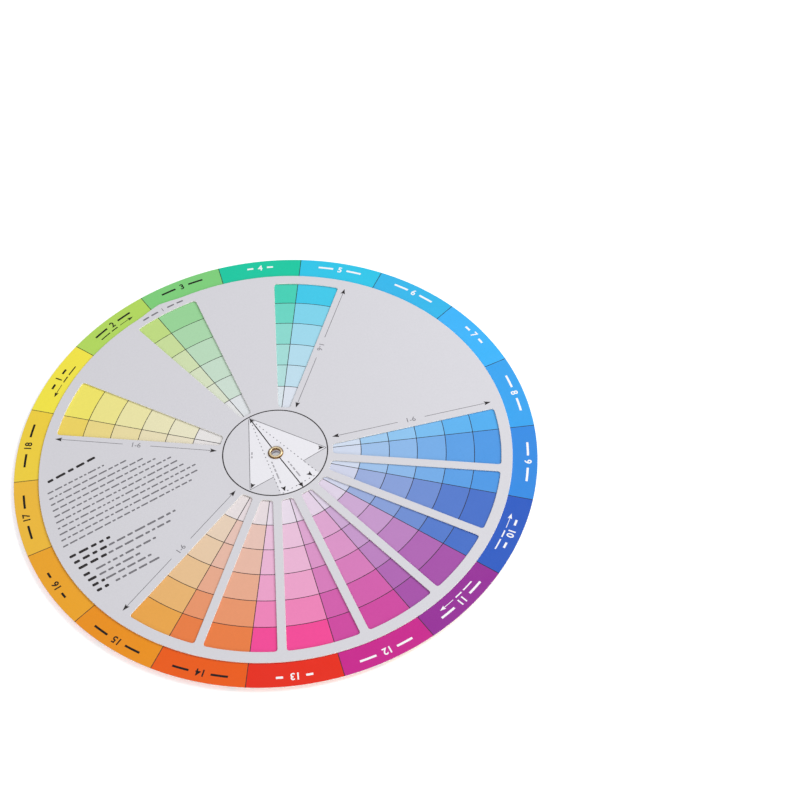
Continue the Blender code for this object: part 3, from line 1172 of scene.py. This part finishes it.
# Its plain lines, its dotted ones, the two ends of its axis, its arrowheads with the way they point, and its
# dashes.
HUB_LINES = (
    ((-0.050, -0.190), (-0.142, 0.129)),
    ((-0.040, -0.190), (0.188, 0.047)),
    ((-0.142, 0.129), (-0.040, 0.105)),
    ((0.086, 0.075), (0.188, 0.047)),
)
HUB_DOTTED = (
    ((-0.0445, -0.160), (-0.040, 0.187)),
    ((-0.030, -0.160), (0.124, 0.148)),
    ((-0.032, 0.189), (0.118, 0.152)),
)
HUB_TOP, HUB_FOOT = (-0.0455, -0.194), (0.0490, 0.190)
HUB_HEADS = (
    ((-0.137, 0.124), (-0.6, 0.75)),
    ((0.181, 0.044), (0.9, 0.3)),
    ((-0.021, 0.183), (0.0, 1.0)),
    ((0.098, 0.153), (0.5, 0.8)),
)
HUB_DASHES = (
    ((-0.093, -0.008), (-0.083, -0.040)),
    ((-0.027, 0.035), (-0.025, 0.150)),
    ((0.032, 0.055), (0.054, 0.140)),
)
# Pitch of the dots, the share of it that each fills, the part of the axis that the eyelet covers, and the
# heads in millimetres. Then the height of the diagram's dashes and what they add to the print's seed.
DOT_PITCH, DOT_SHARE, AXIS_START, HUB_HEAD = 2.2 * MM, 0.3, 0.15, (2.7, 2.3)
HUB_DASH_HEIGHT, HUB_SEED = 0.7 * MM, 120
# Widths of lines as shares of the line width setting: the windows' arrows, the dots and the axis.
SHAFT_LINE, DOT_LINE, AXIS_LINE = 0.9, 1.4, 1.7
# How high the diagram's marks stand over one another, in ink heights: the white field, the dots, the first
# plain line and what each next one adds, the circle and the heads.
HUB_FIELD_RISE, DOT_RISE, LINE_RISE, LINE_RISE_STEP, CIRCLE_RISE, HUB_HEAD_RISE = 0.6, 0.8, 0.9, 0.05, 1.3, 1.4


class WHEEL_OT_tint_dial_print(bpy.types.Operator):
    """Arrows, small print and the hub's diagram on the tint dial"""

    bl_idname = "wheel.tint_dial_print"
    bl_label = "Tint dial print"

    black, grey, field = 0, 1, 2

    def execute(self, context):
        marks = Marks()
        for outer, outer_angle, inner, inner_angle in TINTS_ARROWS:
            self.window_arrow(marks, spot(outer, outer_angle), spot(inner, inner_angle), outer_angle < 90)
        middle = spot(PEAK_SHARE, PEAK_PLACE)
        marks.write("1", middle, middle, PEAK_NUMBER, self.grey)
        for start, stop in PEAK_DASHES:
            path = arc_path(PEAK_SHARE, PEAK_PLACE + start, PEAK_PLACE + stop, ARROW_STEP)
            marks.line(path, PEAK_DASH_WIDTH, self.grey)
        marks.small_print(TINTS_PRINT, self.black, self.grey)
        self.hub_diagram(marks)
        inks = ("black_ink", "grey_ink", "laminated_print")
        marks.make("tint_dial_print", inks, "tint_dial", "grey_card", facing_up(TINT_HIGH))
        return {"FINISHED"}

    def window_arrow(self, marks, far, near, to_the_right):
        """An arrow with a head at both ends and a label in its middle, upright unless the arrow is steep."""
        along = near - far
        width = marks.sizes.line_width * SHAFT_LINE
        for start, stop in ARROW_SHAFTS:
            marks.straight(far + along * start, far + along * stop, width, self.grey)
        marks.arrow(far, -along, WINDOW_HEAD, self.black)
        marks.arrow(near, along, WINDOW_HEAD, self.black)
        middle = far + along * LABEL_PLACE
        up = np.array([along[1], -along[0]])
        up = up if middle[0] < 0 or to_the_right else -up
        up = -up if up[1] < 0 and abs(up[1]) > abs(up[0]) else up
        marks.write("1-6", middle, up, LABEL_HEIGHT, self.grey)

    def hub_diagram(self, marks):
        """The hub's circle with its white field, its hue triangles and the arrow across it."""
        sizes = marks.sizes
        circle = spot(HUB_CIRCLE, np.linspace(0, 360, 121)[:-1]) + seen(*HUB_SHIFT)
        marks.line(circle, sizes.heavy_width, self.black, CIRCLE_RISE, closed=True)
        self.white_field(marks)
        for step, (start, stop) in enumerate(HUB_LINES):
            rise = LINE_RISE + LINE_RISE_STEP * step
            marks.straight(seen(*start), seen(*stop), sizes.line_width, self.grey, rise)
        for start, stop in HUB_DOTTED:
            start, stop = seen(*start), seen(*stop)
            count = round(np.linalg.norm(stop - start) / DOT_PITCH)
            length = (stop - start) * DOT_SHARE / count
            for share in np.arange(count) / count:
                dot = start + (stop - start) * share
                marks.straight(dot, dot + length, sizes.line_width * DOT_LINE, self.grey, DOT_RISE)
        top, foot = seen(*HUB_TOP), seen(*HUB_FOOT)
        for end in (top, foot):
            marks.straight(end * AXIS_START, end, sizes.line_width * AXIS_LINE, self.black, HEAD_RISE)
        heads = [(seen(*tip), seen(*ahead)) for tip, ahead in HUB_HEADS]
        for tip, ahead in [(top, top - foot), (foot, foot - top), *heads]:
            marks.arrow(tip, ahead, HUB_HEAD, self.black, HUB_HEAD_RISE)
        for start, stop in HUB_DASHES:
            loops = dashes(seen(*start), seen(*stop), HUB_DASH_HEIGHT, sizes.seed + HUB_SEED)
            marks.patch(loops, self.field, colour=hex_linear(FIELD_PRINT))

    def white_field(self, marks):
        """A ring from near the eyelet's hole to the field's outline, with points at the same angles."""
        corners = np.array(FIELD_CORNERS)
        share = np.arange(FIELD_STEPS)[:, None] / FIELD_STEPS
        outline = np.concatenate([a + (b - a) * share for a, b in zip(corners, np.roll(corners, -1, 0))])
        curved = slice(FIELD_ARC_SIDE * FIELD_STEPS, (FIELD_ARC_SIDE + 1) * FIELD_STEPS)
        outline[curved] *= FIELD_ARC / np.linalg.norm(outline[curved], axis=1, keepdims=True)
        outline = seen(*outline.T)
        hole = outline / np.linalg.norm(outline, axis=1, keepdims=True) * FIELD_HOLE
        low, top = -marks.ink, marks.ink * HUB_FIELD_RISE
        rows = [lifted(hole, low), lifted(hole, top), lifted(outline, top), lifted(outline, low)]
        marks.grid(np.stack(rows), self.field, hex_linear(FIELD_WHITE), wrap=(True, True))


# The wedges, in shares of the base card's radius: where their lines start, and where a lens's sides leave the
# lines and meet. Then the degrees left beside a lens, and how far the middle line of the first wedge reaches.
WEDGE_HUB, LENS_SHOULDER, LENS_VERTEX = 0.036, 0.887, 0.805
LENS_GAP = 0.2
FIRST_MIDDLE_LINE = 0.62
# A window that reaches past CLOSE is too near its lens: its arrow has no shaft, and its label stands inside
# it. Then how far outside a window the tip near such a lens, another tip and a shaft end, and the heads in
# millimetres.
CLOSE = 0.75
CLOSE_TIP, TIP_GAP, SHAFT_GAP = 0.005, 0.024, 0.045
CLOSE_HEAD, WEDGE_HEAD = (2.4, 2.1), (4.8, 2.9)
# The gap between a close window and its label, where the other labels stand, and the degrees from the wedge's
# middle to the plus sign and to the number. Then the height of both and how much they are thickened, in
# millimetres.
LABEL_GAP, LABEL_SHARE, LABEL_TURN = 0.035, 0.765, 7
PLUS_SIZE, WEDGE_NUMBER_SIZE = (2.9, 0.16), (4.2, 0.09)
# Widths of lines as shares of the line width setting: the wedges', the lenses' and the grey scale's. The
# wedges' two outer borders are a share of the heavy one. Lenses and the ring's circles stand over other
# lines, in ink heights.
WEDGE_LINE, LENS_LINE, GREYS_LINE, WEDGE_BORDER, BORDER_RISE = 1.4, 1.2, 1.3, 1.75, 1.1
# The grey scale's values: how far inside its edge they and the lines beside them reach, their height, and how
# much they are thickened.
VALUE_GAP, VALUE_LINE, VALUE_HEIGHT, VALUE_THICKEN = 0.03, 0.055, 2.7 * MM, 0.05 * MM
# How far coloured fields and lines stop short of the dial's edge, and how high the fields stand, in ink
# heights.
FIELD_STOP, LINE_STOP, FIELD_RISE = 0.001, 0.002, 0.7
# Print curved along the hue ring's inside: share, start and stop in degrees, width and slot. Then in degrees
# the shortest and the longest dash, the gap between two, the least room for another, the start of the first
# hue and the turn from one hue to the next.
RING_PRINT = ((0.203, 185, 300, 1.45 * MM, 0), (0.208, -28, 126, 0.62 * MM, 1))
RING_DASH, RING_GAP, RING_LEAST = (5, 15), 3.2, 4
RING_FIRST, RING_PITCH = -89, 30


class WHEEL_OT_mixing_dial_print(bpy.types.Operator):
    """Wedges, hue ring, grey scale and small print on the mixing dial"""

    bl_idname = "wheel.mixing_dial_print"
    bl_label = "Mixing dial print"

    black, grey = 0, 1

    def execute(self, context):
        card = context.scene.wheel_card
        edge = (card.dial_radius - card.cut_round) / card.disc_radius
        fields, marks = Marks(), Marks()
        self.wedges(fields, marks, edge)
        self.hue_ring(fields, marks)
        self.grey_scale(fields, marks, edge)
        marks.small_print(MIXING_PRINT, self.black, self.grey)
        place, inks = facing_down(MIXING_LOW), ("black_ink", "grey_ink")
        fields.make("mixing_dial_fields", ("laminated_print",), "mixing_dial", "white_card", place)
        marks.make("mixing_dial_lines", inks, "mixing_dial", "white_card", place)
        return {"FINISHED"}

    def field(self, fields, outline, code):
        """A field of one colour."""
        fields.patch(outline, 0, FIELD_RISE, hex_linear(code))

    def wedges(self, fields, marks, edge):
        """The five wedges: their borders, the lens of each added colour and the arrow to its window."""
        thin, heavy = marks.sizes.line_width * WEDGE_LINE, marks.sizes.heavy_width * WEDGE_BORDER
        for place in range(len(LENSES) + 1):
            angle = WEDGE_FIRST + WEDGE_PITCH * place
            border = place in (0, len(LENSES))
            end = spot(edge if border else LENS_SHOULDER, angle)
            marks.straight(spot(WEDGE_HUB, angle), end, heavy if border else thin)
        middle = WEDGE_FIRST + WEDGE_PITCH / 2
        marks.straight(spot(WEDGE_HUB, middle), spot(FIRST_MIDDLE_LINE, middle), thin)
        for place, code in enumerate(LENSES):
            start = WEDGE_FIRST + WEDGE_PITCH * place
            middle, stop = start + WEDGE_PITCH / 2, start + WEDGE_PITCH
            vertex = spot(LENS_VERTEX, middle)
            ends = [spot(LENS_SHOULDER, stop - LENS_GAP), spot(LENS_SHOULDER, start + LENS_GAP)]
            corners = np.stack([ends[0], vertex, ends[1]])
            if code:
                along = np.linspace(start + LENS_GAP, stop - LENS_GAP, 22)
                self.field(fields, np.vstack([spot(edge - FIELD_STOP, along), corners]), code)
            marks.line(corners, marks.sizes.line_width * LENS_LINE, rise=BORDER_RISE)
            self.wedge_arrow(marks, place, middle, vertex, [share * edge for share in WEDGE_WINDOWS[place]])

    def wedge_arrow(self, marks, place, middle, vertex, window):
        """The arrow from a lens to its window, and the plus sign and number on its two sides."""
        low, high = window
        close = high > CLOSE
        tip = spot(high + (CLOSE_TIP if close else TIP_GAP), middle)
        if not close:
            marks.straight(vertex, spot(high + SHAFT_GAP, middle), marks.sizes.line_width * WEDGE_LINE)
        marks.arrow(tip, tip - vertex, CLOSE_HEAD if close else WEDGE_HEAD)
        share = low - LABEL_GAP if close else LABEL_SHARE
        for label, angle, (height, thicken) in (
            ("+", middle - LABEL_TURN, PLUS_SIZE),
            (str(place + 1), middle + LABEL_TURN, WEDGE_NUMBER_SIZE),
        ):
            marks.write(label, spot(share, angle), spot(1, angle), height * MM, thicken=thicken * MM)

    def hue_ring(self, fields, marks):
        """The small ring of twelve hues, with small print curved along its inside."""
        sizes = marks.sizes
        centre = seen(*RING_CENTRE)
        inner, outer = RING_SHARES
        for place, code in enumerate(RING_HUES):
            turns = np.linspace(0, RING_PITCH, 9) + place * RING_PITCH + RING_FIRST
            self.field(fields, np.vstack([spot(outer, turns), spot(inner, turns[::-1])]) + centre, code)
            marks.straight(spot(inner, turns[0]) + centre, spot(outer, turns[0]) + centre, sizes.line_width)
        for share in RING_SHARES:
            circle = spot(share, np.linspace(0, 360, 97)[:-1]) + centre
            marks.line(circle, sizes.line_width, rise=BORDER_RISE, closed=True)
        rng = np.random.default_rng(sizes.seed)
        for share, start, stop, width, slot in RING_PRINT:
            turn = start
            while turn < stop - RING_LEAST:
                reach = min(turn + rng.uniform(*RING_DASH), stop)
                marks.line(spot(share, np.linspace(turn, reach, 5)) + centre, width, slot)
                turn = reach + RING_GAP

    def grey_scale(self, fields, marks, edge):
        """Two runs of the grey scale along the dial's edge, with their values from 10 down to 1."""
        width = marks.sizes.line_width * GREYS_LINE
        value = 10
        for start, pitch, inner, codes in GREYS:
            # The lightest value is cut off by the last wedge's border.
            first, last = max(start, WEDGE_FIRST + len(LENSES) * WEDGE_PITCH), start + pitch * len(codes)
            for place, code in enumerate(codes):
                turns = np.linspace(max(first, start + place * pitch), start + (place + 1) * pitch, 13)
                outline = np.vstack([spot(edge - FIELD_STOP, turns), spot(inner, turns[::-1])])
                self.field(fields, outline, code)
                if place:
                    outside, inside = spot(edge - LINE_STOP, turns[0]), spot(inner - VALUE_LINE, turns[0])
                    marks.straight(outside, inside, width, self.grey)
                centre, up = spot(inner - VALUE_GAP, turns[6]), spot(-1, turns[6])
                marks.write(str(value), centre, up, VALUE_HEIGHT, self.grey, VALUE_THICKEN)
                value -= 1
            marks.line(arc_path(inner, first, last), width, self.grey)
            marks.straight(spot(edge - LINE_STOP, last), spot(inner, last), width, self.grey)


# Metal

# The eyelet's section: how far its crest stands outside the bore, and the powers of the sine that its outer
# and inner flanks rise by. Then how far the undersides of its bead and its rolled end stand in from their
# edges, and how far they bulge towards the cards.
CREST = 0.55 * MM
OUTER_POWER, INNER_POWER = 1.35, 0.9
UNDER_INSET, UNDER_BULGE = 0.12 * MM, 0.05 * MM
# The creases of its rolled end: how many, how deep, the height in which they fade, and how far outside the
# bore they start.
CREASES, CREASE_DEPTH, CREASE_HEIGHT, CREASE_START = 6, 0.05 * MM, 0.35 * MM, 0.2 * MM
# Its inside is bare steel from STEEL_DROP below the bead down, where it lies within INSIDE of the bore.
STEEL_DROP, INSIDE = 0.5 * MM, 0.02 * MM
WASHER_ROUND = 0.08 * MM


def turned(radii, heights, slots=0, ripple=None):
    """A closed section of radii and heights carried round the axis. ripple moves its radii with the angle."""
    turns = np.linspace(0, math.tau, bpy.context.scene.wheel_metal.turns + 1)[:-1]
    radii = radii[:, None] + (0 if ripple is None else ripple(turns))
    slots = np.reshape(np.broadcast_to(slots, len(radii)), (-1, 1))
    shell = Shell()
    shell.grid(lifted(round_the_axis(radii, turns), heights[:, None]), slots, wrap=(True, True))
    return shell


class WHEEL_OT_eyelet(bpy.types.Operator):
    """Eyelet and washer: a pressed brass bead above, a rolled end below and a nickel ring under it"""

    bl_idname = "wheel.eyelet"
    bl_label = "Eyelet"

    def execute(self, context):
        metal = context.scene.wheel_metal
        finishes = ("bright_brass", "bare_steel", "dark_steel")
        piece = self.eyelet(metal).make("brass_eyelet", finishes, "wheel", "brass", smooth=True)
        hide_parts("eyelet")
        washer = turned(*self.washer_section(context.scene.wheel_card.hole_radius, metal.washer_radius))
        piece = washer.make("nickel_washer", ("nickel_plate",), "wheel", "nickel", smooth=True)
        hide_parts("eyelet_washer")
        return {"FINISHED"}

    def eyelet(self, metal):
        """The bead from its outer edge inwards, the bore, the rolled end outwards, and the barrel outside."""
        bore, flange, roll = metal.bore_radius, metal.flange_radius, metal.roll_radius
        crest, barrel = bore + CREST, bore + metal.wall
        half = np.linspace(0, math.pi, 25)
        over = half[::-1]
        outside = half < math.pi / 2
        radii = np.concatenate([
            crest + np.where(outside, flange - crest, crest - bore) * np.cos(half),
            np.full(5, bore),
            (bore + roll) / 2 + (roll - bore) / 2 * np.cos(over),
            [roll - UNDER_INSET, barrel, barrel, flange - UNDER_INSET],
        ])  # fmt: skip
        heights = np.concatenate([
            BEAD_LOW + (EYELET_HIGH - BEAD_LOW) * np.sin(half) ** np.where(outside, OUTER_POWER, INNER_POWER),
            np.linspace(BEAD_LOW, ROLL_HIGH, 7)[1:-1],
            EYELET_LOW + (ROLL_HIGH - EYELET_LOW) * (1 - np.sin(over)),
            [ROLL_HIGH + UNDER_BULGE] * 2 + [BEAD_LOW - UNDER_BULGE] * 2,
        ])  # fmt: skip
        depths = CREASE_DEPTH * np.exp(-(((heights - EYELET_LOW) / CREASE_HEIGHT) ** 2))
        depths *= radii > bore + CREASE_START
        bare = (radii < bore + INSIDE) & (heights < BEAD_LOW - STEEL_DROP)
        # Slot 2, the rolled end, takes the steel that is darkened as painted shade.
        slots = np.where(heights < BASE_LOW, 2, bare)
        return turned(radii, heights, slots, lambda turns: depths[:, None] * np.cos(turns * CREASES))

    def washer_section(self, inner, outer):
        """Radii and heights round the washer's section, with rounded corners, from its upper outer one."""
        corners = []
        for quarter, (out, up) in enumerate(((1, 1), (-1, 1), (-1, -1), (1, -1))):
            angle = QUARTER_TURN + quarter * math.pi / 2
            radius = (outer if out > 0 else inner) - out * WASHER_ROUND
            height = (WASHER_HIGH if up > 0 else WASHER_LOW) - up * WASHER_ROUND
            corners.append([radius + WASHER_ROUND * np.cos(angle), height + WASHER_ROUND * np.sin(angle)])
        return np.concatenate(corners, 1)


# Stage


# Place and side of each lamp.
KEY_LAMP = (1.0, 0.1, 0.9), 0.85
FILL_LAMP = (-0.7, -1.85, 0.95), 1.1
UNDER_LAMP = (0, 0, -1.0), 1.2
# The surroundings in gloss, by how far a ray rises: their strength at the horizon as a share of the whole,
# where it starts to grow and reaches the whole, and where a bright ceiling begins and is full.
HORIZON_SHARE, WALLS, CEILING = 0.4, (0, 0.79), (0.85, 0.97)
# The floor's own glow near the wheel and far from it, and the distances in metres between which it grows.
FLOOR_GLOW, FLOOR_FADE = (0.38, 1.0), (0.25, 0.8)
SENSOR = 36


def area_lamp(name, place, size, power):
    """A square lamp at a place, aimed at the wheel."""
    lamp = bpy.data.lights.new(name, "AREA")
    lamp.shape, lamp.size, lamp.energy = "SQUARE", size, power
    holder = bpy.data.objects.new(name, lamp)
    holder.location = place
    holder.rotation_euler = (-Vector(place)).to_track_quat("-Z", "Y").to_euler()
    bpy.context.scene.collection.objects.link(holder)
    return holder


class WHEEL_OT_stage(bpy.types.Operator):
    """Pale floor, even studio light and the camera at the photographed angle"""

    bl_idname = "wheel.stage"
    bl_label = "Stage"

    def execute(self, context):
        scene, stage = context.scene, context.scene.wheel_stage
        self.floor(scene, stage)
        self.world(scene, stage)
        area_lamp("key_lamp", *KEY_LAMP, stage.key_power)
        area_lamp("fill_lamp", *FILL_LAMP, stage.fill_power)
        under = area_lamp("under_lamp", *UNDER_LAMP, stage.under_power)
        under.visible_glossy = False
        under.data.use_shadow = False
        under.data.cycles.max_bounces = 0
        self.camera(scene, stage)
        scene.view_settings.view_transform = "Standard"
        return {"FINISHED"}

    def floor(self, scene, stage):
        half = stage.floor_size / 2
        mesh = bpy.data.meshes.new("floor")
        corners = [(-half, -half, 0), (half, -half, 0), (half, half, 0), (-half, half, 0)]
        mesh.from_pydata(corners, [], [(0, 1, 2, 3)])
        mesh.materials.append(self.floor_paper(np.array(stage.floor_colour)))
        floor = bpy.data.objects.new("floor", mesh)
        scene.collection.objects.link(floor)

    def world(self, scene, stage):
        """White to the camera, even light for matt surfaces, and walls with a brighter ceiling in gloss."""
        world = bpy.data.worlds.new("white_studio")
        scene.world = world
        world.use_nodes = True
        tree = world.node_tree
        path = add_node(tree, "ShaderNodeLightPath")
        way = add_node(tree, "ShaderNodeTexCoord").outputs["Generated"]
        rise = add_node(tree, "ShaderNodeSeparateXYZ", {0: way}).outputs["Z"]
        around = ranged(tree, rise, stage.sheen * HORIZON_SHARE, stage.sheen, *WALLS)
        ceiling = ranged(tree, rise, 0, 1 - stage.sheen, *CEILING)
        glossy = calculated(tree, "ADD", around, ceiling)
        strength = ranged(tree, path.outputs["Is Glossy Ray"], stage.sky, glossy, 0, 1)
        strength = calculated(tree, "MAXIMUM", path.outputs["Is Camera Ray"], strength)
        tree.links.new(strength, tree.nodes["Background"].inputs["Strength"])
        tree.nodes["Background"].inputs["Color"].default_value = rgba(WHITE)

    def camera(self, scene, stage):
        camera = bpy.data.cameras.new("camera")
        camera.sensor_width, camera.lens, camera.clip_start = SENSOR, stage.lens, 0.01
        holder = bpy.data.objects.new("camera", camera)
        turn = Euler((math.pi / 2 - stage.rise, 0, -stage.turn)).to_matrix()
        turn = turn @ Matrix.Rotation(stage.roll, 3, "Z")
        place = Vector((*stage.aim, 0)) + turn @ Vector((0, 0, stage.distance))
        holder.matrix_world = Matrix.Translation(place) @ turn.to_4x4()
        scene.collection.objects.link(holder)
        scene.camera = holder

    def floor_paper(self, colour):
        """Matt white sweep paper, clear from underneath. To the camera it glows to plain white far away."""
        material = bpy.data.materials.new("sweep_paper")
        material.use_nodes = True
        tree = material.node_tree
        tree.nodes.remove(tree.nodes["Principled BSDF"])
        path = add_node(tree, "ShaderNodeLightPath")
        place = add_node(tree, "ShaderNodeTexCoord").outputs["Object"]
        away = add_node(tree, "ShaderNodeVectorMath", {0: place}, operation="LENGTH").outputs["Value"]
        lift = ranged(tree, away, *FLOOR_GLOW, *FLOOR_FADE)
        lift = calculated(tree, "MULTIPLY", path.outputs["Is Camera Ray"], lift)
        lift = calculated(tree, "MAXIMUM", path.outputs["Is Glossy Ray"], lift)
        glow = add_node(tree, "ShaderNodeEmission", {"Color": rgba(WHITE), "Strength": lift})
        paper = add_node(tree, "ShaderNodeBsdfDiffuse", {"Color": rgba(colour)})
        both = add_node(tree, "ShaderNodeAddShader", {0: paper.outputs[0], 1: glow.outputs[0]})
        clear = add_node(tree, "ShaderNodeBsdfTransparent")
        below = add_node(tree, "ShaderNodeNewGeometry").outputs["Backfacing"]
        sides = {0: below, 1: both.outputs[0], 2: clear.outputs[0]}
        sides = add_node(tree, "ShaderNodeMixShader", sides)
        tree.links.new(sides.outputs[0], tree.nodes["Material Output"].inputs["Surface"])
        return material


# Panel

GROUPS = (
    ("wheel_card", WheelCard, "Cards"),
    ("wheel_print", WheelPrint, "Print"),
    ("wheel_metal", WheelMetal, "Metal"),
    ("wheel_colours", WheelColours, "Colours"),
    ("wheel_stage", WheelStage, "Stage"),
)
OPERATORS = (
    WHEEL_OT_base_card,
    WHEEL_OT_rim_numbers,
    WHEEL_OT_tint_dial,
    WHEEL_OT_tint_dial_print,
    WHEEL_OT_mixing_dial,
    WHEEL_OT_mixing_dial_print,
    WHEEL_OT_eyelet,
    WHEEL_OT_stage,
)


class WHEEL_PT_panel(bpy.types.Panel):
    """Lists the wheel's pieces and their settings"""

    bl_idname = "WHEEL_PT_panel"
    bl_label = "Color Mixing Wheel"
    bl_space_type = "VIEW_3D"
    bl_region_type = "UI"
    bl_category = "Wheel"

    def draw(self, context):
        for name, group, title in GROUPS:
            box = self.layout.box()
            box.label(text=title)
            for setting in group.__annotations__:
                box.prop(getattr(context.scene, name), setting)
        for operator in OPERATORS:
            self.layout.operator(operator.bl_idname)


def register():
    for name, group, _ in GROUPS:
        bpy.utils.register_class(group)
        setattr(bpy.types.Scene, name, PointerProperty(type=group))
    for item in (*OPERATORS, WHEEL_PT_panel):
        bpy.utils.register_class(item)


def unregister():
    for item in (WHEEL_PT_panel, *reversed(OPERATORS)):
        bpy.utils.unregister_class(item)
    for name, group, _ in reversed(GROUPS):
        delattr(bpy.types.Scene, name)
        bpy.utils.unregister_class(group)


def main():
    register()
    for operator in OPERATORS:
        group, name = operator.bl_idname.split(".")
        getattr(getattr(bpy.ops, group), name)()


if __name__ == "__main__":
    main()
